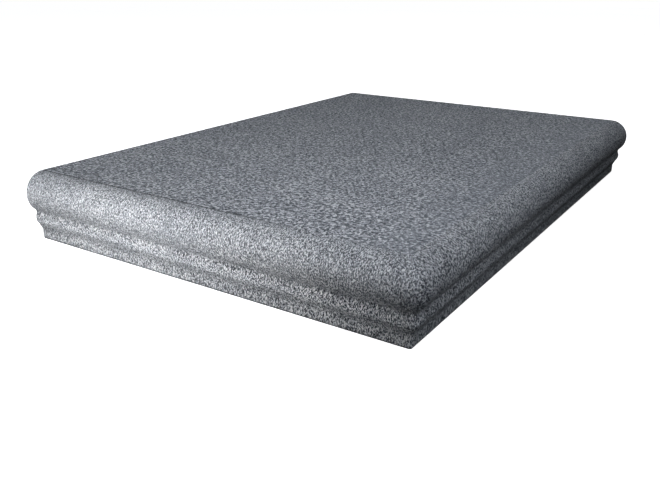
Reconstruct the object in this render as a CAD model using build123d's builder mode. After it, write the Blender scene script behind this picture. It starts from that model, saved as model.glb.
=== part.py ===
# Corner step tile of dark grey fired clay, laid at the outer corner of a staircase.
#
# One fired piece. A thin tread slab carries a deep moulded nosing along its front and along its right side,
# and the two nosings meet in a small rounded corner. From the tread down, the moulding is a bull nose, a
# quirk, a bead, a small cove and a plain fascia. The left and back sides are plain joints that butt against
# the next tiles. The flat underside of the slab beds on the step, and the nosings hang down over its faces.
#
# +X runs along the front nosing to the side nosing, +Y from the front nosing to the back joint, +Z up.
# The origin is the middle of the tile's outline, at the foot of the nosing.

from build123d import *

import os
from math import sqrt

# Overall sizes, in millimetres
tile_width = 240.0
tile_depth = 340.0
tile_height = 39.0
slab_thickness = 12.0
nosing_width = 32.0

# Moulding. A setback is measured in from the outermost line of the nose.
nose_radius = 12.0
quirk_setback = 5.4
bead_setback = 3.8
bead_height = 7.6
bead_foot_setback = 5.3
cove_height = 3.6
fascia_setback = 7.1

# Softened edges of the moulding, the foot and the joints
quirk_radius = 2.0
bead_foot_radius = 2.0
cove_radius = 2.0
foot_arris = 0.7
joint_arris = 0.6
root_radius = 3.0

# Plan radius of the flat foot's outer corner, inside its arris. It sets the corner's upright turning line.
foot_corner_radius = 0.2

# Places worked out from the sizes
left_joint = -tile_width / 2
nose_right = tile_width / 2
nose_front = -tile_depth / 2
back_joint = tile_depth / 2
tread_right = nose_right - nose_radius
tread_front = nose_front + nose_radius
corner_inset = nose_radius - fascia_setback - foot_arris - foot_corner_radius
turn_x = tread_right + corner_inset
turn_y = tread_front - corner_inset
inner_wall_x = nose_right - nosing_width
inner_wall_y = nose_front + nosing_width
slab_underside = tile_height - slab_thickness
nose_centre_height = tile_height - nose_radius
quirk_height = nose_centre_height - sqrt(nose_radius**2 - (nose_radius - quirk_setback) ** 2)
bead_foot_height = quirk_height - bead_height
cove_foot_height = bead_foot_height - cove_height


def moulding_section(plane, start=0.0):
    """The moulding from this far outside the tread's edge to the nose, drawn with X outwards and Y up."""
    top = (start, nose_centre_height + sqrt(nose_radius**2 - start**2))
    nose_tip = (nose_radius, nose_centre_height)
    quirk = (nose_radius - quirk_setback, quirk_height)
    bead_crown = (nose_radius - bead_setback, quirk_height - bead_height / 2)
    bead_foot = (nose_radius - bead_foot_setback, bead_foot_height)
    cove_foot = (nose_radius - fascia_setback, cove_foot_height)
    fascia_foot = (nose_radius - fascia_setback, 0)
    with BuildSketch(plane) as section:
        with BuildLine():
            RadiusArc(top, nose_tip, nose_radius)
            RadiusArc(nose_tip, quirk, nose_radius)
            ThreePointArc(quirk, bead_crown, bead_foot)
            Polyline(bead_foot, cove_foot, fascia_foot, (start, 0), top)
        make_face()
        for corner, radius in (
            (quirk, quirk_radius),
            (bead_foot, bead_foot_radius),
            (cove_foot, cove_radius),
            (fascia_foot, foot_arris),
        ):
            fillet(section.vertices().sort_by_distance(corner)[0], radius)
    return section.sketch


def edges_through(part, places):
    """The edge of the part that passes nearest to each of the places."""
    return [part.edges().sort_by_distance(place)[0] for place in places]


# The front section faces left, the side section faces front, and the turned one starts at the turning line
front_section = moulding_section(Plane((tread_right, tread_front, 0), x_dir=(0, -1, 0), z_dir=(-1, 0, 0)))
side_section = moulding_section(Plane((tread_right, tread_front, 0), x_dir=(1, 0, 0), z_dir=(0, -1, 0)))
turned_section = moulding_section(
    Plane((turn_x, tread_front, 0), x_dir=(0, -1, 0), z_dir=(-1, 0, 0)), corner_inset
)

# Where the two nosings cross at the corner they are mitred, up to the corner's turning line
with BuildPart() as corner_mitre:
    extrude(front_section, amount=-nose_radius)
    extrude(side_section, amount=nose_radius, mode=Mode.INTERSECT)
    with Locations((turn_x, turn_y, 0)):
        Box(
            nose_radius,
            nose_radius,
            tile_height,
            align=(Align.MIN, Align.MAX, Align.MIN),
            mode=Mode.SUBTRACT,
        )

with BuildPart() as corner_step_tile:
    # Tread slab
    with BuildSketch(Plane.XY.offset(slab_underside)):
        with Locations((left_joint, tread_front)):
            Rectangle(tread_right - left_joint, back_joint - tread_front, align=(Align.MIN, Align.MIN))
    extrude(amount=slab_thickness)

    # Solid backs of the two nosings
    with BuildSketch(Plane.XY):
        with BuildLine():
            Polyline(
                (left_joint, tread_front),
                (tread_right, tread_front),
                (tread_right, back_joint),
                (inner_wall_x, back_joint),
                (inner_wall_x, inner_wall_y),
                (left_joint, inner_wall_y),
                close=True,
            )
        make_face()
    extrude(amount=slab_underside)

    # Rounded roots between the slab and the inner walls, and down the corner between the walls
    root_places = (
        ((left_joint + inner_wall_x) / 2, inner_wall_y, slab_underside),
        (inner_wall_x, (inner_wall_y + back_joint) / 2, slab_underside),
        (inner_wall_x, inner_wall_y, slab_underside / 2),
    )
    fillet(edges_through(corner_step_tile, root_places), root_radius)

    # Moulding along the front and along the side, mitred at the corner and turned about its turning line
    extrude(front_section, amount=tread_right - left_joint)
    extrude(side_section, amount=-(back_joint - tread_front))
    add(corner_mitre.part)
    revolve(turned_section, axis=Axis((turn_x, turn_y, 0), (0, 0, 1)), revolution_arc=90)

    # Arrises round the tread's two plain joints and along the inner edges of the foot
    arris_places = (
        (left_joint, (tread_front + back_joint) / 2, tile_height),
        ((left_joint + tread_right) / 2, back_joint, tile_height),
        (left_joint, back_joint, tile_height - slab_thickness / 2),
    )
    fillet(edges_through(corner_step_tile, arris_places), joint_arris)
    inner_foot_places = (
        ((left_joint + inner_wall_x) / 2, inner_wall_y, 0),
        (inner_wall_x, (inner_wall_y + back_joint) / 2, 0),
    )
    fillet(edges_through(corner_step_tile, inner_foot_places), foot_arris)

corner_step_tile.part.label = "corner_step_tile"
os.makedirs("parts", exist_ok=True)
export_step(corner_step_tile.part, "parts/corner_step_tile.step")
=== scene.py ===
from math import atan2, cos, hypot, pi, radians, sin, sqrt, tan

import bmesh
import bpy
import numpy as np
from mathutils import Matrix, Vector, noise
from mathutils.geometry import delaunay_2d_cdt


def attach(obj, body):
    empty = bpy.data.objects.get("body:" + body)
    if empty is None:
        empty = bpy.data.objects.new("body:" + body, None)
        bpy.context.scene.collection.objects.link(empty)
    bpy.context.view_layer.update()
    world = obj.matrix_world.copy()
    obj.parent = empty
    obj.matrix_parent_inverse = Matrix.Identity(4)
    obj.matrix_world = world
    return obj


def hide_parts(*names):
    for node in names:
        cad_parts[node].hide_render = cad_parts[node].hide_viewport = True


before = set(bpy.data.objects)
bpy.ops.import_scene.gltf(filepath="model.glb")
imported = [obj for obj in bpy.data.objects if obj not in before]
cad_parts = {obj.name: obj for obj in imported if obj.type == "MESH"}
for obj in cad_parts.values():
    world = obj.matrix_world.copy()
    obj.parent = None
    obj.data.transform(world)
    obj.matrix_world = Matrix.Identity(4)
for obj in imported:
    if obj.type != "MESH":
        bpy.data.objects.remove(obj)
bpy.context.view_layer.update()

# The corner step tile is one piece of dark grey clay, pressed with its two nosings in a mould and fired.
# The tread and the moulding have a pebbled skin. The joints, the underside and the backs of the nosings are
# plain clay. It has no fixings: it is bedded on the corner of a step. Its sizes here are in millimetres.
tile_width = 240.0
tile_depth = 340.0
tile_height = 39.0
slab_thickness = 12.0
nosing_width = 32.0
nose_radius = 12.0
quirk_setback = 5.4
bead_setback = 3.8
bead_height = 7.6
bead_foot_setback = 5.3
cove_height = 3.6
fascia_setback = 7.1
quirk_radius = 2.0
bead_foot_radius = 2.0
cove_radius = 2.0
foot_arris = 0.7
foot_corner_radius = 0.2
joint_arris = 0.6
root_radius = 3.0
corner_ease = 1.5

left_joint = -tile_width / 2
back_joint = tile_depth / 2
turn_x = tile_width / 2 - nose_radius
turn_y = nose_radius - tile_depth / 2
inner_wall_x = tile_width / 2 - nosing_width
inner_wall_y = nosing_width - tile_depth / 2
slab_underside = tile_height - slab_thickness
nose_centre = tile_height - nose_radius
corner_inset = nose_radius - fascia_setback - foot_arris - foot_corner_radius

# The moulding's section runs from the end of the flat tread down to the foot. Each of its points has a
# distance out from the tread's end and a height. Each is one row of points along the finished moulding, and
# two closer rows at the top take the crease.
skin_step = 1.2
crease_steps = (0.4, 0.9)
quirk_rows = 5
bead_rows = 5
bead_foot_rows = 3
cove_slope_rows = 3
cove_bend_rows = 4
fascia_rows = 4
foot_arris_rows = 3
bead_trace_steps = 40


def distance(first, second):
    """How far apart two points of the section are."""
    return hypot(first[0] - second[0], first[1] - second[1])


def arc_points(centre, start, end, steps):
    """Points on the circle round centre from start to end, the short way, without the first."""
    radius = distance(start, centre)
    first = atan2(start[1] - centre[1], start[0] - centre[0])
    turn = atan2(end[1] - centre[1], end[0] - centre[0]) - first
    turn = (turn + pi) % (2 * pi) - pi
    angles = [first + turn * k / steps for k in range(1, steps + 1)]
    return [(centre[0] + radius * cos(a), centre[1] + radius * sin(a)) for a in angles]


def reach_of(before, corner, after, radius):
    """How far from a corner a curve of this radius leaves the two sides."""
    first = Vector((before[0] - corner[0], before[1] - corner[1]))
    second = Vector((after[0] - corner[0], after[1] - corner[1]))
    return radius / tan(first.angle(second) / 2)


def eased_corner(before, corner, after, reach, steps):
    """A soft curve past a corner, leaving the two sides at the same reach from it."""
    ends = []
    for beside in (before, after):
        length = distance(beside, corner)
        ends.append(tuple(c + (b - c) * reach / length for b, c in zip(beside, corner)))
    curve = []
    for k in range(steps + 1):
        t = k / steps
        spot = []
        for s, c, e in zip(ends[0], corner, ends[1]):
            spot.append((1 - t) ** 2 * s + 2 * t * (1 - t) * c + t * t * e)
        curve.append(tuple(spot))
    return curve


def touching_circle(first, first_radius, second, second_radius, radius):
    """Centre of a circle of this radius that lies on the outer side of two others and touches both."""
    a = first_radius + radius
    b = second_radius + radius
    between = Vector(second) - Vector(first)
    gap = between.length
    along = (a * a - b * b + gap * gap) / (2 * gap)
    away = sqrt(a * a - along * along)
    return Vector(first) + between / gap * along + Vector((-between.y, between.x)) / gap * away


def bead_centre(top, crown, foot):
    """Centre of the circle through the bead's top, crown and foot."""
    rows = np.array([[2 * (p[0] - top[0]), 2 * (p[1] - top[1])] for p in (crown, foot)])
    sums = np.array([p[0] ** 2 + p[1] ** 2 - top[0] ** 2 - top[1] ** 2 for p in (crown, foot)])
    return tuple(np.linalg.solve(rows, sums))


quirk_out = nose_radius - quirk_setback
quirk_height = nose_centre - sqrt(nose_radius**2 - quirk_out**2)
bead_crown = (nose_radius - bead_setback, quirk_height - bead_height / 2)
bead_foot = (nose_radius - bead_foot_setback, quirk_height - bead_height)
cove_foot = (nose_radius - fascia_setback, bead_foot[1] - cove_height)
fascia_foot = (cove_foot[0], 0.0)
bead_middle = bead_centre((quirk_out, quirk_height), bead_crown, bead_foot)


def on_nose(angle):
    """A point of the bull nose, at the angle pi / 2 by the tread, 0 at the nose's tip and less below it."""
    return (nose_radius * cos(angle), nose_centre + nose_radius * sin(angle))


# The bead is first traced finely, to find where it starts to round off towards its foot.
nose_start = pi / 2 - crease_steps[-1] / nose_radius
quirk = (quirk_out, quirk_height)
bead_line = [quirk] + arc_points(bead_middle, quirk, bead_foot, bead_trace_steps)
bead_radius = distance(quirk, bead_middle)
quirk_middle = touching_circle((0.0, nose_centre), nose_radius, bead_middle, bead_radius, quirk_radius)
nose_end = atan2(quirk_middle[1] - nose_centre, quirk_middle[0])
bead_start = Vector(bead_middle) + (quirk_middle - Vector(bead_middle)).normalized() * bead_radius
arris_reach = reach_of(bead_line[-2], bead_foot, cove_foot, bead_foot_radius)
cove_reach = reach_of(bead_foot, cove_foot, fascia_foot, cove_radius)
bead_end = next(p for p in reversed(bead_line) if distance(p, bead_foot) >= arris_reach)
nose_rows = round((nose_start - nose_end) * nose_radius / skin_step)
section = [on_nose(pi / 2 - s / nose_radius) for s in (0.0, *crease_steps)]
section += arc_points((0.0, nose_centre), section[-1], on_nose(nose_end), nose_rows)
section += arc_points(tuple(quirk_middle), section[-1], tuple(bead_start), quirk_rows)
section += arc_points(bead_middle, section[-1], bead_end, bead_rows)
section += eased_corner(bead_end, bead_foot, cove_foot, arris_reach, bead_foot_rows)[1:]
cove_top = section[-1]
cove_bend = eased_corner(bead_foot, cove_foot, fascia_foot, cove_reach, cove_bend_rows)
for k in range(1, cove_slope_rows):
    section.append(tuple(a + (b - a) * k / cove_slope_rows for a, b in zip(cove_top, cove_bend[0])))
section += cove_bend
fascia_top = cove_bend[-1][1]
for k in range(1, fascia_rows + 1):
    section.append((fascia_foot[0], fascia_top + (foot_arris - fascia_top) * k / fascia_rows))
foot_out = fascia_foot[0] - foot_arris
section += arc_points((foot_out, foot_arris), section[-1], (foot_out, 0.0), foot_arris_rows)

# The way that the moulding faces at each row, out and up, is square to the line between the rows beside it.
facings = []
for here in range(len(section)):
    before = section[max(here - 1, 0)]
    after = section[min(here + 1, len(section) - 1)]
    along = Vector((after[0] - before[0], after[1] - before[1])).normalized()
    facings.append((-along[1], along[0]))
facings[0] = (0.0, 1.0)
facings[-1] = (0.0, -1.0)

# The joints' arrises are short rows of points that bend over the ends of the tread and the moulding. Each
# place across or along the tile goes with the angle that the arris has turned there.
arris_turns = (90.0, 60.0, 30.0)
arris_bends = len(arris_turns)


def stations(start, end, step):
    """Even places from start to end, both kept."""
    count = max(1, round(abs(end - start) / step))
    return [start + (end - start) * k / count for k in range(count + 1)]


across = [(left_joint + joint_arris, radians(t)) for t in arris_turns]
across += [(x, 0.0) for x in stations(left_joint + joint_arris, turn_x, skin_step)]
behind = [(turn_y, 0.0)] + [(turn_y + s, 0.0) for s in crease_steps]
behind += [(y, 0.0) for y in stations(turn_y + crease_steps[-1], back_joint - joint_arris, skin_step)[1:]]
behind += [(back_joint - joint_arris, radians(t)) for t in reversed(arris_turns)]

# The whole tile is one mesh. Its strips of four-sided faces and its flat joints share these points.
points = []
relief_shares = []
faces = []
plain_faces = []


def place(x, y, z, share=0.0):
    """Adds a point, with the share of the skin's relief that it takes, and gives its number."""
    points.append((x, y, z))
    relief_shares.append(share)
    return len(points) - 1


def lay_strip(first, second):
    """Joins two rows of points of the same length with four-sided faces."""
    for a, b, c, d in zip(first, first[1:], second[1:], second):
        corners = list(dict.fromkeys((a, b, c, d)))
        if len(corners) > 2:
            faces.append(corners)


def settle(inwards, width):
    """Rises smoothly from 0 at an edge to 1 at that width inwards from it."""
    t = min(max(inwards / width, 0.0), 1.0)
    return t * t * (3 - 2 * t)


# The skin's relief dies out towards the joints and towards the foot, so their edges stay straight.
edge_rest = 2.5
foot_rest = 3.0


def share_by_left(x):
    """Share of the relief at this distance across, by how far it is from the left joint."""
    return settle(x - left_joint - joint_arris, edge_rest)


def share_by_back(y):
    """Share of the relief at this distance along, by how far it is from the back joint."""
    return settle(back_joint - joint_arris - y, edge_rest)


tread = []
for y, y_turn in behind:
    row = []
    for x, x_turn in across:
        facing = Vector((-sin(x_turn), sin(y_turn), cos(x_turn) * cos(y_turn))).normalized()
        spot = Vector((x, y, tile_height - joint_arris)) + joint_arris * facing
        row.append(place(*spot, share_by_left(x) * share_by_back(y)))
    tread.append(row)


def corner_turn(out):
    """Radius, seen from above, of the corner of a moulding line this far out from the tread."""
    past = out - corner_inset
    first = (hypot(corner_inset, corner_ease) - corner_inset) / 2
    return (past + hypot(past, corner_ease)) / 2 - first


# Each row of the moulding is laid along the front, round the corner and along the side. At the corner it runs
# straight on, turns and runs straight again, or it meets in one point where it is sharp. The joints' arrises
# fade out over the last rows above the foot.
flat_end_rows = 4
run_steps = 3
corner_steps = 12
least_turn = 0.25
foot_row = len(section) - 1
front = [tread[0]]
side = [[row[-1] for row in tread]]
corner = []
for number in range(1, foot_row + 1):
    out, height = section[number]
    face_out, face_up = facings[number]
    softening = joint_arris * settle(foot_row - number, flat_end_rows)
    share = settle(height, foot_rest)
    front_row = []
    for x, x_turn in across:
        inset = softening * (1 - cos(x_turn))
        y = turn_y - out + inset * face_out
        z = height - inset * face_up
        front_row.append(place(x - joint_arris * sin(x_turn), y, z, share_by_left(x) * share))
    turn = corner_turn(out)
    sharp = turn < least_turn
    run = out if sharp else out - turn
    run_ends = range(1, run_steps) if sharp else range(1, run_steps + 1)
    runs = [run * k / run_steps for k in run_ends]
    corner_row = [front_row[-1]] + [place(turn_x + r, turn_y - out, height, share) for r in runs]
    if sharp:
        corner_row += [place(turn_x + out, turn_y - out, height, share)] * (corner_steps + 1)
    else:
        for k in range(1, corner_steps):
            angle = k / corner_steps * pi / 2
            x = turn_x + run + turn * sin(angle)
            y = turn_y - run - turn * cos(angle)
            corner_row.append(place(x, y, height, share))
    corner_row += [place(turn_x + out, turn_y - r, height, share) for r in reversed(runs)]
    side_row = []
    for y, y_turn in behind:
        inset = softening * (1 - cos(y_turn))
        x = turn_x + out - inset * face_out
        z = height - inset * face_up
        side_row.append(place(x, y + joint_arris * sin(y_turn), z, share_by_back(y) * share))
    front.append(front_row)
    corner.append(corner_row + [side_row[0]])
    side.append(side_row)
for rows in (tread, front, side, corner):
    for first, second in zip(rows, rows[1:]):
        lay_strip(first, second)
for a, b in zip(corner[0], corner[0][1:]):
    if a != b:
        faces.append([tread[0][-1], a, b])

# The backs of the nosings stand square to the slab, with a rounded root above and a soft foot below.
back_step = 4.0
back_rise = 6.0
root_turns = 4
root_start = slab_underside - root_radius
back_section = [(-foot_arris, 0.0)]
back_section += arc_points((-foot_arris, foot_arris), back_section[0], (0.0, foot_arris), foot_arris_rows)
back_section += [(0.0, z) for z in stations(foot_arris, root_start, back_rise)[1:]]
back_section += arc_points(
    (root_radius, root_start), back_section[-1], (root_radius, slab_underside), root_turns
)
least_reach = 1e-6
root_x = inner_wall_x - root_radius
root_y = inner_wall_y + root_radius
backs = []
for inward, height in back_section:
    row = [place(x, inner_wall_y + inward, height) for x in stations(left_joint, root_x, back_step)]
    reach = root_radius - inward
    if reach > least_reach:
        for k in range(1, root_turns):
            angle = k / root_turns * pi / 2
            row.append(place(root_x + reach * sin(angle), root_y - reach * cos(angle), height))
        row.append(place(root_x + reach, root_y, height))
    else:
        row += [row[-1]] * root_turns
    row += [place(inner_wall_x - inward, y, height) for y in stations(root_y, back_joint, back_step)[1:]]
    backs.append(row)
plain_start = len(faces)
for first, second in zip(backs, backs[1:]):
    lay_strip(first, second)

# The upright arris between the two joints runs down from the tread's corner to the underside.
last_flat = len(behind) - arris_bends - 1
upright_top = [row[0] for row in tread[last_flat:]] + tread[-1][1 : arris_bends + 1]
upright_low = [place(points[n][0], points[n][1], slab_underside) for n in upright_top]
lay_strip(upright_top, upright_low)

# The left and back joints, the foot and the underside are flat, and filled with triangles from rim to rim.
# The points inside them are evenly spaced, and keep clear of the rim by a share of that spacing.
end_spacing = 8.0
foot_spacing = 6.0
underside_spacing = 9.0
clear_share = 0.6
inside_only = 1
merge_within = 1e-6


def flat_face(outline, axes, spacing):
    """Fills a flat outline in these two axes with triangles, with more points inside where it is broad."""
    outline = list(dict.fromkeys(outline))
    rim = [Vector([points[n][axis] for axis in axes]) for n in outline]
    lows = [min(p[k] for p in rim) for k in (0, 1)]
    highs = [max(p[k] for p in rim) for k in (0, 1)]
    sides = list(zip(rim, rim[1:] + rim[:1]))
    inside = []
    for a in np.arange(lows[0] + spacing, highs[0] - spacing / 2, spacing):
        for b in np.arange(lows[1] + spacing, highs[1] - spacing / 2, spacing):
            crossings = 0
            for p, q in sides:
                if (p[1] > b) != (q[1] > b) and a < p[0] + (b - p[1]) / (q[1] - p[1]) * (q[0] - p[0]):
                    crossings += 1
            clear = min((a - p[0]) ** 2 + (b - p[1]) ** 2 for p in rim) > (spacing * clear_share) ** 2
            if crossings % 2 and clear:
                inside.append(Vector((a, b)))
    filled = delaunay_2d_cdt(rim + inside, [], [list(range(len(rim)))], inside_only, merge_within)
    numbers = []
    for spot, sources in zip(filled[0], filled[3]):
        if sources and sources[0] < len(rim):
            numbers.append(outline[sources[0]])
        else:
            where = list(points[outline[0]])
            for axis, value in zip(axes, spot):
                where[axis] = value
            numbers.append(place(*where))
    for triangle in filled[2]:
        plain_faces.append([numbers[k] for k in triangle])


left_places = stations(root_y, back_joint - joint_arris, back_step)[1:-1]
left_lower = [place(left_joint, y, slab_underside) for y in left_places]
back_places = stations(left_joint + joint_arris, root_x, back_step)[1:-1]
back_lower = [place(x, back_joint, slab_underside) for x in back_places]
left_end = [row[0] for row in tread[: last_flat + 1]]
left_end += [upright_low[0]] + left_lower[::-1] + [row[0] for row in reversed(backs)]
left_end += [row[0] for row in reversed(front)]
flat_face(left_end, (1, 2), end_spacing)
back_end = tread[-1][arris_bends:] + [row[-1] for row in side[1:]]
back_end += [row[-1] for row in backs] + back_lower[::-1] + [upright_low[-1]]
flat_face(back_end, (0, 2), end_spacing)
foot = front[-1] + corner[-1][1:] + side[-1][1:] + backs[0][::-1]
flat_face(foot, (0, 1), foot_spacing)
underside = backs[-1] + back_lower[::-1] + upright_low[::-1] + left_lower[::-1]
flat_face(underside, (0, 1), underside_spacing)

# The skin's relief goes inwards from the mould's face: pebbles a few millimetres across, and a fine crease
# where the tread's texture stops at the front nosing, deepest at the left and gone near the corner. With a
# fixed seed the pebbles lie the same way each time.
noise.seed_set(1)
pebble_depth = 0.16
pebble_size = 2.7
pebble_drift = 0.9
drift_size = 4.0
swell_depth = 0.1
swell_size = 17.0
swell_start = Vector((7.0, 3.0, 1.0))
crease_depth = 0.26
crease_reach = 0.6
crease_end = 70.0
crease_fade = 90.0
crease_wander_size = 9.0


def skin_depth(spot):
    """How far the skin lies below the mould's face at a place, in millimetres."""
    where = Vector(spot)
    drift = noise.noise_vector(where / drift_size) * pebble_drift
    pebbles = 0.5 + 0.5 * noise.noise((where + drift) / pebble_size)
    swell = 0.5 + 0.5 * noise.noise(where / swell_size + swell_start)
    return pebble_depth * pebbles + swell_depth * swell


def crease_at(spot):
    """Depth of the crease between the tread and the front nosing."""
    from_line = hypot(spot[1] - turn_y, spot[2] - tile_height)
    if from_line > crease_reach or spot[0] > turn_x:
        return 0.0
    fade = settle(crease_end - spot[0], crease_fade)
    wander = 0.75 + 0.5 * noise.noise(Vector((spot[0] / crease_wander_size, 4.0, 2.0)))
    return crease_depth * fade * wander * (1 - from_line / crease_reach)


body = bpy.data.meshes.new("corner_step_tile_skin")
strip_count = len(faces)
body.from_pydata([Vector(p) / 1000 for p in points], [], faces + plain_faces)
body.update()

shape = bmesh.new()
shape.from_mesh(body)
bmesh.ops.recalc_face_normals(shape, faces=shape.faces)
shape.normal_update()
for vertex, spot, share in zip(shape.verts, points, relief_shares):
    if share > 0:
        depth = (skin_depth(spot) + crease_at(spot)) * share / 1000
        vertex.co += vertex.normal * -depth
shape.to_mesh(body)
shape.free()
for number, face in enumerate(body.polygons):
    face.use_smooth = number < strip_count
    face.material_index = 0 if number < plain_start else 1

tile = bpy.data.objects.new("corner_step_tile_dressed", body)
bpy.context.scene.collection.objects.link(tile)


def add_node(tree, kind, inputs=None, **settings):
    """A shader node with its settings and the values or links of its inputs."""
    node = tree.nodes.new(kind)
    for name, value in settings.items():
        setattr(node, name, value)
    for name, value in (inputs or {}).items():
        socket = node.inputs[name]
        if isinstance(value, bpy.types.NodeSocket):
            tree.links.new(value, socket)
        else:
            socket.default_value = value
    return node


def shades(tree, amount, stops):
    """A ramp of greys and colours over an amount from 0 to 1."""
    ramp = add_node(tree, "ShaderNodeValToRGB", {"Fac": amount})
    while len(ramp.color_ramp.elements) < len(stops):
        ramp.color_ramp.elements.new(0.5)
    for element, (place_on_ramp, colour) in zip(ramp.color_ramp.elements, stops):
        element.position = place_on_ramp
        element.color = (*colour, 1.0)
    return ramp.outputs["Color"]


def grey(level):
    """A grey, or a number that stands for one, as a colour."""
    return (level, level, level)


def tinted(tree, colour, *tints):
    """A colour multiplied by one or more others."""
    for tint in tints:
        node = add_node(tree, "ShaderNodeMix", data_type="RGBA", blend_type="MULTIPLY", clamp_result=False)
        node.inputs["Factor"].default_value = 1.0
        tree.links.new(colour, node.inputs["A"])
        tree.links.new(tint, node.inputs["B"])
        colour = node.outputs["Result"]
    return colour


def reckoned(tree, operation, *numbers):
    """The result of a sum with one, two or three numbers."""
    return add_node(tree, "ShaderNodeMath", dict(enumerate(numbers)), operation=operation).outputs[0]


def graded(tree, amount, start, end, low=0.0, high=1.0):
    """A number that goes evenly from low to high as the amount goes from start to end."""
    limits = {"From Min": start, "From Max": end, "To Min": low, "To Max": high}
    return add_node(tree, "ShaderNodeMapRange", {"Value": amount, **limits}).outputs[0]


def blend(tree, amount, first, second):
    """A number that goes from the first to the second as the amount goes from 0 to 1."""
    node = add_node(tree, "ShaderNodeMix", {"Factor": amount, "A": first, "B": second}, data_type="FLOAT")
    return node.outputs["Result"]


def grain(tree, spot, size, detail, rough, twist=0.0):
    """Soft noise whose grains are about that size, in metres."""
    node = add_node(
        tree,
        "ShaderNodeTexNoise",
        {"Vector": spot, "Scale": 1 / size, "Detail": detail, "Roughness": rough, "Distortion": twist},
    )
    return node.outputs["Fac"]


def stronger(tree, amount, strength):
    """Soft noise made that many times stronger about its middle."""
    either_way = reckoned(tree, "SUBTRACT", amount, 0.5)
    return reckoned(tree, "MULTIPLY_ADD", either_way, strength, 0.5)


def pressed(tree, spot, scale):
    """A place for noise whose grains are pressed together that many times across, along and up."""
    return add_node(tree, "ShaderNodeMapping", {"Vector": spot, "Scale": scale}).outputs["Vector"]


def bare_material(name):
    """A material with nothing in it yet."""
    material = bpy.data.materials.new(name)
    material.use_nodes = True
    material.node_tree.nodes.clear()
    return material


def fired_surface(tree, colour, roughness, bump_height, bump_strength, bump_depth):
    """Finishes a clay with its colour, its roughness and its finest bumps."""
    bump = {"Height": bump_height, "Strength": bump_strength, "Distance": bump_depth}
    normal = add_node(tree, "ShaderNodeBump", bump).outputs[0]
    looks = {"Base Color": colour, "Roughness": roughness, "Normal": normal}
    shader = add_node(tree, "ShaderNodeBsdfPrincipled", looks)
    add_node(tree, "ShaderNodeOutputMaterial", {"Surface": shader.outputs[0]})


# The skin's clay is nearly black with pale grains fired into it. From here on, sizes are in metres.
tread_grain_size = 0.0015
nosing_grain_size = 0.00075
patch_size = 0.03
black_clay = (0.0105, 0.0148, 0.022)
grey_clay = (0.104, 0.115, 0.132)
pale_grains = (0.428, 0.442, 0.468)
darker_patches = (0.9, 0.91, 0.93)
skin_clay = bare_material("pebbled_clay_skin")
tree = skin_clay.node_tree
spot = add_node(tree, "ShaderNodeTexCoord").outputs["Object"]
tread_grain = grain(tree, spot, tread_grain_size, detail=2.0, rough=0.65, twist=0.8)

# The noses' finer grain is drawn out over the curve of each nose.
front_press = (1.5, 0.8, 0.8)
side_press = (0.8, 1.0, 0.8)
across_front = pressed(tree, spot, front_press)
across_side = pressed(tree, spot, side_press)
front_grain = grain(tree, across_front, nosing_grain_size, detail=2.0, rough=0.65, twist=0.5)
side_grain = grain(tree, across_side, nosing_grain_size, detail=2.0, rough=0.65, twist=0.5)

# The tread's coarser grain stops where the noses begin to turn down. The two noses' grains meet on the mitre.
mitre_blend = 0.0006
last_of_tread = -0.0002
first_of_nose = 0.0005
spot_xyz = add_node(tree, "ShaderNodeSeparateXYZ", {"Vector": spot}).outputs
past_side = reckoned(tree, "SUBTRACT", spot_xyz["X"], turn_x / 1000)
past_front = reckoned(tree, "SUBTRACT", turn_y / 1000, spot_xyz["Y"])
past = reckoned(tree, "MAXIMUM", past_side, past_front)
sideways = reckoned(tree, "SUBTRACT", past_side, past_front)
on_side = graded(tree, sideways, -mitre_blend, mitre_blend)
on_nosing = graded(tree, past, last_of_tread, first_of_nose)

# The tread's grain is weaker along the side nosing. The front nosing's is stronger at the top of its nose and
# below the nose, and the side nosing's is strong all over. The bands are shares of the tile's height.
side_strength = 1.65
front_bands = ((0.42, 1.3), (0.53, 1.0), (0.84, 1.0), (0.95, 1.35))
tread_strength = graded(tree, spot_xyz["X"], 0.07, 0.098, low=1.12, high=0.7)
share_up = reckoned(tree, "DIVIDE", spot_xyz["Z"], tile_height / 1000)
front_strength = shades(tree, share_up, [(share, grey(strength)) for share, strength in front_bands])
nosing_strength = blend(tree, on_side, front_strength, side_strength)
nosing_grain = stronger(tree, blend(tree, on_side, front_grain, side_grain), nosing_strength)
crinkle = blend(tree, on_nosing, stronger(tree, tread_grain, tread_strength), nosing_grain)
clay = shades(tree, crinkle, [(0.38, black_clay), (0.5, grey_clay), (0.62, pale_grains)])
patch_grain = grain(tree, spot, patch_size, detail=3.0, rough=0.55)
patches = shades(tree, patch_grain, [(0.3, darker_patches), (0.7, grey(1.1))])

# Painted shade darkens the crease, dark at the left and faded out before the corner. Painted shade also
# darkens the foot along its edge.
crease_painted_shade = 0.9
foot_painted_shade = 0.85
full_painted_shade = (0.1, 0.1, 0.12)
from_crease = reckoned(tree, "ABSOLUTE", past_front)
in_crease = graded(tree, from_crease, 0.0003, 0.0008, low=1.0, high=0.0)
at_left = graded(tree, spot_xyz["X"], 0.0, 0.07, low=crease_painted_shade, high=0.0)
on_foot = graded(tree, spot_xyz["Z"], 0.0004, 0.0014, low=foot_painted_shade, high=0.0)
painted_shade = reckoned(tree, "MAXIMUM", reckoned(tree, "MULTIPLY", in_crease, at_left), on_foot)
painted_shade_colour = shades(tree, painted_shade, [(0.0, grey(1.0)), (1.0, full_painted_shade)])

# A painted highlight makes a band along the bead a little lighter than the clay above and below it.
bead_highlight_height = 0.0122
bead_highlight_tint = 1.3
from_bead = reckoned(tree, "ABSOLUTE", reckoned(tree, "SUBTRACT", spot_xyz["Z"], bead_highlight_height))
bead_painted_highlight = graded(tree, from_bead, 0.0005, 0.003, low=bead_highlight_tint, high=1.0)
# The clay's colour is multiplied by its patches, by the painted shade and by the bead's painted highlight.
colour = tinted(tree, clay, patches, painted_shade_colour, bead_painted_highlight)

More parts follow.
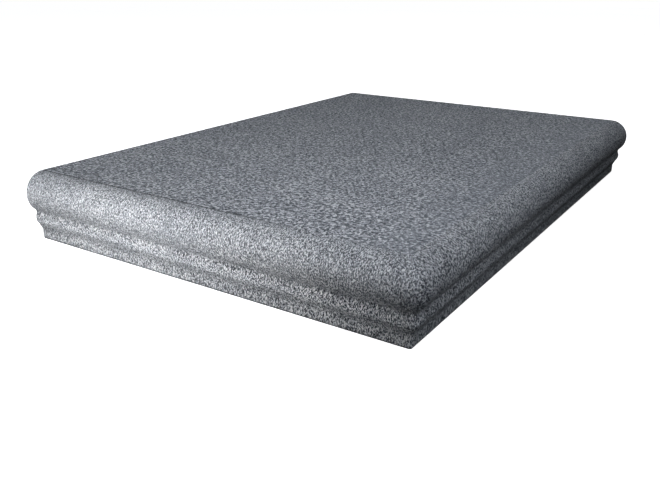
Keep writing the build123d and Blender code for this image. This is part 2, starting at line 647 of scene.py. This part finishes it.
# The pale grains are smoother than the dark clay between them, and the noses are smoother than the tread.
tread_roughness = graded(tree, crinkle, 0.3, 0.7, low=0.6, high=0.42)
nosing_roughness = graded(tree, crinkle, 0.3, 0.7, low=0.5, high=0.34)
roughness = blend(tree, on_nosing, tread_roughness, nosing_roughness)
fired_surface(tree, colour, roughness, crinkle, bump_strength=1.0, bump_depth=0.0009)

# The plain clay of the joints, the backs and the underside is matt, with faint patches and fine specks.
dark_plain = (0.115, 0.12, 0.13)
light_plain = (0.155, 0.158, 0.166)
plain_patch_size = 0.045
speck_size = 0.0009
rub_size = 1 / 420
plain_roughness = 0.72
plain_clay = bare_material("plain_pressed_clay")
tree = plain_clay.node_tree
spot = add_node(tree, "ShaderNodeTexCoord").outputs["Object"]
patch_grain = grain(tree, spot, plain_patch_size, detail=3.0, rough=0.55)
patches = shades(tree, patch_grain, [(0.3, dark_plain), (0.7, light_plain)])
speck_grain = grain(tree, spot, speck_size, detail=2.0, rough=0.7)
specks = shades(tree, speck_grain, [(0.35, grey(0.75)), (0.65, grey(1.2))])
rub = grain(tree, spot, rub_size, detail=4.0, rough=0.7)
colour = tinted(tree, patches, specks)
fired_surface(tree, colour, plain_roughness, rub, bump_strength=0.6, bump_depth=0.00025)

body.materials.append(skin_clay)
body.materials.append(plain_clay)
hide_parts("corner_step_tile")
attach(tile, "root")

# The floor is a round white studio sheet with light behind it. It lies level under the tile and curves up
# into a wall far from it, on every side. It gives the tile no light, and only the camera sees it.
floor_reach = 2.5
sweep = 1.2
wall_top = 4.0
spokes = 64
floor_rings = 12
sweep_rings = 10
sheet_line = [(floor_reach * (k / floor_rings) ** 2, 0.0) for k in range(1, floor_rings + 1)]
sheet_line += arc_points((floor_reach, sweep), sheet_line[-1], (floor_reach + sweep, sweep), sweep_rings)
sheet_line += [(floor_reach + sweep, wall_top)]
sheet_points = [(0.0, 0.0, 0.0)]
sheet_faces = []
for reach, height in sheet_line:
    for k in range(spokes):
        angle = 2 * pi * k / spokes
        sheet_points.append((reach * cos(angle), reach * sin(angle), height))
for k in range(spokes):
    sheet_faces.append((0, 1 + k, 1 + (k + 1) % spokes))
for ring in range(len(sheet_line) - 1):
    for k in range(spokes):
        a = 1 + ring * spokes + k
        b = 1 + ring * spokes + (k + 1) % spokes
        sheet_faces.append((a, a + spokes, b + spokes, b))
sheet = bpy.data.meshes.new("studio_floor")
sheet.from_pydata(sheet_points, [], sheet_faces)
floor = bpy.data.objects.new("studio_floor", sheet)
floor.visible_diffuse = False
floor.visible_glossy = False
floor.visible_shadow = False
bpy.context.scene.collection.objects.link(floor)
paper = bpy.data.materials.new("white_light_table")
paper.use_nodes = True
paper_looks = paper.node_tree.nodes["Principled BSDF"].inputs
paper_looks["Base Color"].default_value = (0.85, 0.85, 0.85, 1.0)
paper_looks["Roughness"].default_value = 0.9
paper_looks["Emission Color"].default_value = (1.0, 1.0, 1.0, 1.0)
paper_looks["Emission Strength"].default_value = 0.82
sheet.materials.append(paper)

# The studio has a dim, slightly blue ceiling light and five soft boxes. Two warm ones with grids, which
# narrow their light, stand low before the front and at its left. Two cool ones stand high at the front right
# and at the right, and a small white one hangs over the corner. The ceiling fades out towards the horizon.
ceiling_light = 0.2
ceiling_edge = 0.15
warm_white = (1.0, 0.98, 0.945)
cool_white = (0.96, 0.985, 1.02)
plain_white = (1.0, 1.0, 1.0)
room = bpy.data.worlds.new("white_ceiling")
room.use_nodes = True
tree = room.node_tree
looking = add_node(tree, "ShaderNodeTexCoord").outputs["Generated"]
looking_up = add_node(tree, "ShaderNodeSeparateXYZ", {"Vector": looking}).outputs["Z"]
glow = tree.nodes["Background"].inputs
glow["Color"].default_value = (*cool_white, 1.0)
tree.links.new(graded(tree, looking_up, 0.0, ceiling_edge, 0.0, ceiling_light), glow["Strength"])
bpy.context.scene.world = room


def soft_box(name, place_from, aimed_at, size, watts, tint, spread=180.0):
    """A square area light that faces a place and can't be seen itself, with its spread in degrees."""
    lamp = bpy.data.lights.new(name, "AREA")
    lamp.shape = "SQUARE"
    lamp.size = size
    lamp.energy = watts
    lamp.color = tint
    lamp.spread = radians(spread)
    box = bpy.data.objects.new(name, lamp)
    box.location = place_from
    box.rotation_euler = (Vector(aimed_at) - Vector(place_from)).to_track_quat("-Z", "Y").to_euler()
    box.visible_camera = False
    bpy.context.scene.collection.objects.link(box)
    return box


nose_left = (-0.08, -0.165, 0.028)
nose_middle = (-0.03, -0.165, 0.028)
nose_corner = (0.1, -0.16, 0.036)
side_nose = (0.115, -0.11, 0.025)
tile_middle = (0.0, 0.0, 0.02)
soft_box("front_soft_box_with_grid", (-0.004, -0.322, 0.034), nose_middle, 0.03, 0.236, warm_white, 128.0)
soft_box("left_soft_box_with_grid", (-0.183, -0.548, 0.084), nose_left, 0.08, 0.243, warm_white, 50.0)
soft_box("high_right_soft_box", (0.3, -0.35, 0.9), tile_middle, 0.3, 5.25, cool_white)
soft_box("right_soft_box", (0.338, -0.149, 0.131), side_nose, 0.0625, 0.255, cool_white)
soft_box("over_corner_soft_box", (0.041, -0.194, 0.224), nose_corner, 0.02, 0.2, plain_white)

# Two far fill lights reach the plain joints at the left and the back. They give no gloss.
for name, place_from in (("left_fill", (-1.5, 0.1, 0.15)), ("back_fill", (-0.1, 1.5, 0.15))):
    fill = soft_box(name, place_from, tile_middle, 0.25, 9.0, plain_white)
    fill.visible_glossy = False

# The camera stands at the tile's front right corner and looks down on it, as in the photograph.
camera_place = (0.2256, -0.3953, 0.143)
camera_turn = (69.55, -0.26, 33.25)
lens = bpy.data.cameras.new("camera")
lens.sensor_width = 36.0
lens.lens = 39.37
lens.clip_start = 0.01
camera = bpy.data.objects.new("camera", lens)
camera.location = camera_place
camera.rotation_euler = [radians(t) for t in camera_turn]
bpy.context.scene.collection.objects.link(camera)
bpy.context.scene.camera = camera
bpy.context.scene.view_settings.view_transform = "Standard"
